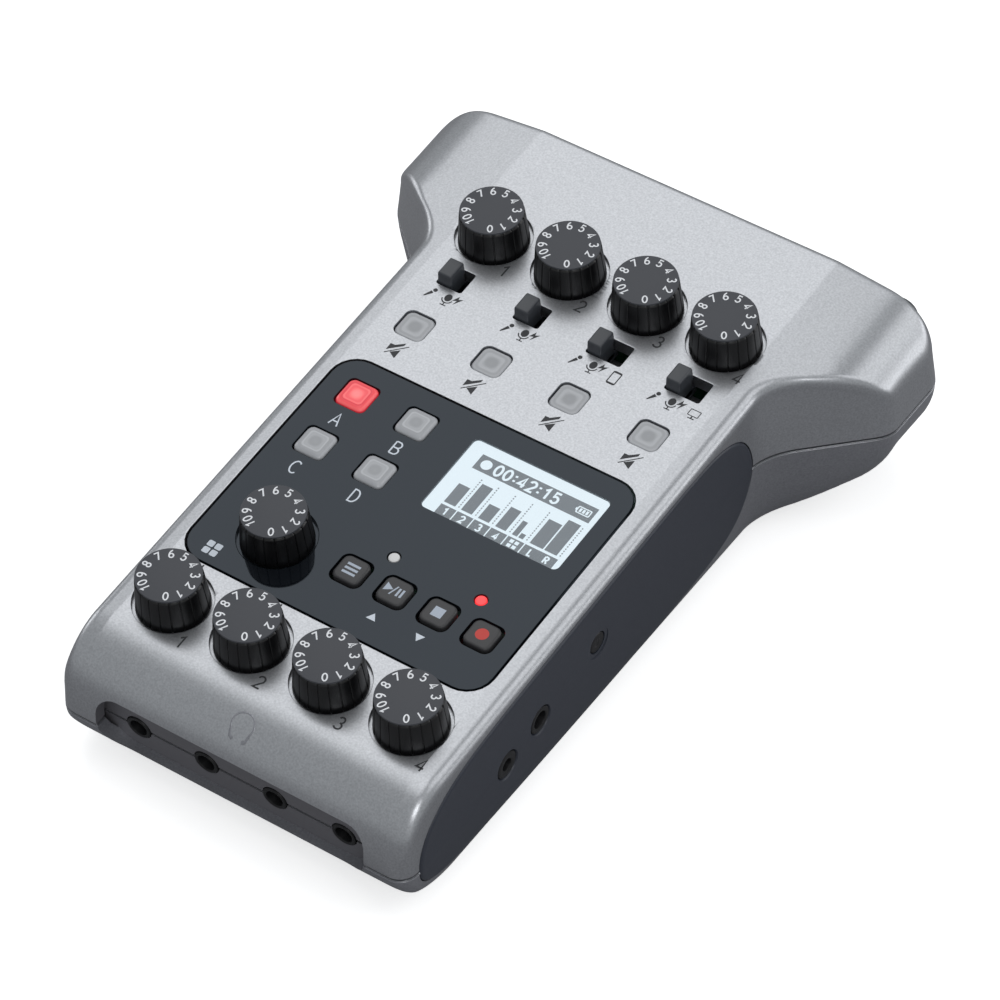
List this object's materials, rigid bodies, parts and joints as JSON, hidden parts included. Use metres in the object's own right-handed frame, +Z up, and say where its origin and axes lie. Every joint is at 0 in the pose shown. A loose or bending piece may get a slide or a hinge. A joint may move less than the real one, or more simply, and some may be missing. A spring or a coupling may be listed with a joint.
{
  "type": "podcast recorder",
  "caption": "Hand-sized wedge-shaped podcast recorder with dial knobs, selector slides, lit pads, transport keys, a display, headphone jacks and microphone sockets.",
  "frame": {"origin": "middle of the bounding box on the table plane under the feet", "axes": "+X to the user's right, +Y from the headphone nose to the microphone sockets, +Z up"},
  "size_m": [0.115, 0.1578, 0.0476],
  "materials": {
    "silver_paint": "satin",
    "gunmetal_paint": "satin",
    "gloss_panel": "gloss",
    "clear_window": "gloss",
    "lit_display": "matte",
    "grip_rubber": "matte",
    "board_green": "satin",
    "black_plastic": "satin",
    "knob_black": "satin",
    "key_grey": "satin",
    "milky_plastic": "satin",
    "pad_red": "lit",
    "light_clear": "gloss",
    "steel": "brushed",
    "contact_metal": "polished",
    "cell_wrap": "gloss",
    "foot_rubber": "matte"
  },
  "bodies": {
    "case": {"top_case": "silver_paint", "bottom_case": "gunmetal_paint", "control_panel": "gloss_panel", "lcd_window": "clear_window", "lcd_module": "lit_display", "left_grip": "grip_rubber", "right_grip": "grip_rubber", "main_board": "board_green", "xlr_sockets": "black_plastic", "headphone_jacks": "black_plastic", "side_jacks": "black_plastic", "left_ports": "steel", "pot_bodies": "steel", "switch_bodies": "steel", "tact_switches": "steel", "led_lights": "light_clear", "battery_contacts": "contact_metal", "battery_cells": "cell_wrap", "case_screws": "steel", "feet": "foot_rubber"},
    "input_dial_1": {"input_knob_1": "knob_black", "input_shaft_1": "steel"},
    "input_dial_2": {"input_knob_2": "knob_black", "input_shaft_2": "steel"},
    "input_dial_3": {"input_knob_3": "knob_black", "input_shaft_3": "steel"},
    "input_dial_4": {"input_knob_4": "knob_black", "input_shaft_4": "steel"},
    "output_dial_1": {"output_knob_1": "knob_black", "output_shaft_1": "steel"},
    "output_dial_2": {"output_knob_2": "knob_black", "output_shaft_2": "steel"},
    "output_dial_3": {"output_knob_3": "knob_black", "output_shaft_3": "steel"},
    "output_dial_4": {"output_knob_4": "knob_black", "output_shaft_4": "steel"},
    "pad_dial": {"pad_knob": "knob_black", "pad_shaft": "steel"},
    "selector_slide_1": {"selector_1": "black_plastic"},
    "selector_slide_2": {"selector_2": "black_plastic"},
    "selector_slide_3": {"selector_3": "black_plastic"},
    "selector_slide_4": {"selector_4": "black_plastic"},
    "mute_1": {"mute_key_1": "milky_plastic"},
    "mute_2": {"mute_key_2": "milky_plastic"},
    "mute_3": {"mute_key_3": "milky_plastic"},
    "mute_4": {"mute_key_4": "milky_plastic"},
    "pad_1": {"sound_pad_1": "pad_red"},
    "pad_2": {"sound_pad_2": "milky_plastic"},
    "pad_3": {"sound_pad_3": "milky_plastic"},
    "pad_4": {"sound_pad_4": "milky_plastic"},
    "transport_1": {"transport_key_1": "key_grey"},
    "transport_2": {"transport_key_2": "key_grey"},
    "transport_3": {"transport_key_3": "key_grey"},
    "transport_4": {"transport_key_4": "key_grey"},
    "latch_1": {"socket_latch_1": "black_plastic"},
    "latch_2": {"socket_latch_2": "black_plastic"},
    "latch_3": {"socket_latch_3": "black_plastic"},
    "latch_4": {"socket_latch_4": "black_plastic"},
    "power": {"power_button": "black_plastic"},
    "cover": {"battery_cover": "gunmetal_paint"}
  },
  "joints": [
    {"name": "input_dial_1_turn", "type": "hinge", "parent": "case", "child": "input_dial_1", "pos_m": [-0.0264, 0.04582, 0.03971], "axis": [0, -0.0958, 0.9954], "range_deg": [-150, 150]},
    {"name": "input_dial_2_turn", "type": "hinge", "parent": "case", "child": "input_dial_2", "pos_m": [-0.0088, 0.04582, 0.03971], "axis": [0, -0.0958, 0.9954], "range_deg": [-150, 150]},
    {"name": "input_dial_3_turn", "type": "hinge", "parent": "case", "child": "input_dial_3", "pos_m": [0.0088, 0.04582, 0.03971], "axis": [0, -0.0958, 0.9954], "range_deg": [-150, 150]},
    {"name": "input_dial_4_turn", "type": "hinge", "parent": "case", "child": "input_dial_4", "pos_m": [0.0264, 0.04582, 0.03971], "axis": [0, -0.0958, 0.9954], "range_deg": [-150, 150]},
    {"name": "output_dial_1_turn", "type": "hinge", "parent": "case", "child": "output_dial_1", "pos_m": [-0.0264, -0.0586, 0.02966], "axis": [0, -0.0958, 0.9954], "range_deg": [-150, 150]},
    {"name": "output_dial_2_turn", "type": "hinge", "parent": "case", "child": "output_dial_2", "pos_m": [-0.0088, -0.0586, 0.02966], "axis": [0, -0.0958, 0.9954], "range_deg": [-150, 150]},
    {"name": "output_dial_3_turn", "type": "hinge", "parent": "case", "child": "output_dial_3", "pos_m": [0.0088, -0.0586, 0.02966], "axis": [0, -0.0958, 0.9954], "range_deg": [-150, 150]},
    {"name": "output_dial_4_turn", "type": "hinge", "parent": "case", "child": "output_dial_4", "pos_m": [0.0264, -0.0586, 0.02966], "axis": [0, -0.0958, 0.9954], "range_deg": [-150, 150]},
    {"name": "pad_dial_turn", "type": "hinge", "parent": "case", "child": "pad_dial", "pos_m": [-0.0188, -0.0366, 0.03178], "axis": [0, -0.0958, 0.9954], "range_deg": [-150, 150]},
    {"name": "selector_1_travel", "type": "slide", "parent": "case", "child": "selector_slide_1", "axis": [1, 0, 0], "range_m": [0, 0.0023]},
    {"name": "selector_2_travel", "type": "slide", "parent": "case", "child": "selector_slide_2", "axis": [1, 0, 0], "range_m": [0, 0.0023]},
    {"name": "selector_3_travel", "type": "slide", "parent": "case", "child": "selector_slide_3", "axis": [1, 0, 0], "range_m": [0, 0.0043]},
    {"name": "selector_4_travel", "type": "slide", "parent": "case", "child": "selector_slide_4", "axis": [1, 0, 0], "range_m": [0, 0.0043]},
    {"name": "mute_key_1_press", "type": "slide", "parent": "case", "child": "mute_1", "axis": [0, 0.0958, -0.9954], "range_m": [0, 0.0006], "stiffness_N_per_m": 600},
    {"name": "mute_key_2_press", "type": "slide", "parent": "case", "child": "mute_2", "axis": [0, 0.0958, -0.9954], "range_m": [0, 0.0006], "stiffness_N_per_m": 600},
    {"name": "mute_key_3_press", "type": "slide", "parent": "case", "child": "mute_3", "axis": [0, 0.0958, -0.9954], "range_m": [0, 0.0006], "stiffness_N_per_m": 600},
    {"name": "mute_key_4_press", "type": "slide", "parent": "case", "child": "mute_4", "axis": [0, 0.0958, -0.9954], "range_m": [0, 0.0006], "stiffness_N_per_m": 600},
    {"name": "sound_pad_1_press", "type": "slide", "parent": "case", "child": "pad_1", "axis": [0, 0.0958, -0.9954], "range_m": [0, 0.0006], "stiffness_N_per_m": 600},
    {"name": "sound_pad_2_press", "type": "slide", "parent": "case", "child": "pad_2", "axis": [0, 0.0958, -0.9954], "range_m": [0, 0.0006], "stiffness_N_per_m": 600},
    {"name": "sound_pad_3_press", "type": "slide", "parent": "case", "child": "pad_3", "axis": [0, 0.0958, -0.9954], "range_m": [0, 0.0006], "stiffness_N_per_m": 600},
    {"name": "sound_pad_4_press", "type": "slide", "parent": "case", "child": "pad_4", "axis": [0, 0.0958, -0.9954], "range_m": [0, 0.0006], "stiffness_N_per_m": 600},
    {"name": "transport_key_1_press", "type": "slide", "parent": "case", "child": "transport_1", "axis": [0, 0.0958, -0.9954], "range_m": [0, 0.0006], "stiffness_N_per_m": 600},
    {"name": "transport_key_2_press", "type": "slide", "parent": "case", "child": "transport_2", "axis": [0, 0.0958, -0.9954], "range_m": [0, 0.0006], "stiffness_N_per_m": 600},
    {"name": "transport_key_3_press", "type": "slide", "parent": "case", "child": "transport_3", "axis": [0, 0.0958, -0.9954], "range_m": [0, 0.0006], "stiffness_N_per_m": 600},
    {"name": "transport_key_4_press", "type": "slide", "parent": "case", "child": "transport_4", "axis": [0, 0.0958, -0.9954], "range_m": [0, 0.0006], "stiffness_N_per_m": 600},
    {"name": "socket_latch_1_press", "type": "slide", "parent": "case", "child": "latch_1", "axis": [0, -0.9954, -0.0958], "range_m": [0, 0.0015], "stiffness_N_per_m": 1500},
    {"name": "socket_latch_2_press", "type": "slide", "parent": "case", "child": "latch_2", "axis": [0, -0.9954, -0.0958], "range_m": [0, 0.0015], "stiffness_N_per_m": 1500},
    {"name": "socket_latch_3_press", "type": "slide", "parent": "case", "child": "latch_3", "axis": [0, -0.9954, -0.0958], "range_m": [0, 0.0015], "stiffness_N_per_m": 1500},
    {"name": "socket_latch_4_press", "type": "slide", "parent": "case", "child": "latch_4", "axis": [0, -0.9954, -0.0958], "range_m": [0, 0.0015], "stiffness_N_per_m": 1500},
    {"name": "power_button_press", "type": "slide", "parent": "case", "child": "power", "axis": [-1, 0, 0], "range_m": [0, 0.0005], "stiffness_N_per_m": 600},
    {"name": "cover_swing", "type": "hinge", "parent": "case", "child": "cover", "pos_m": [0, 0.0037, 0.0018], "axis": [1, 0, 0], "range_deg": [0, 95]}
  ]
}
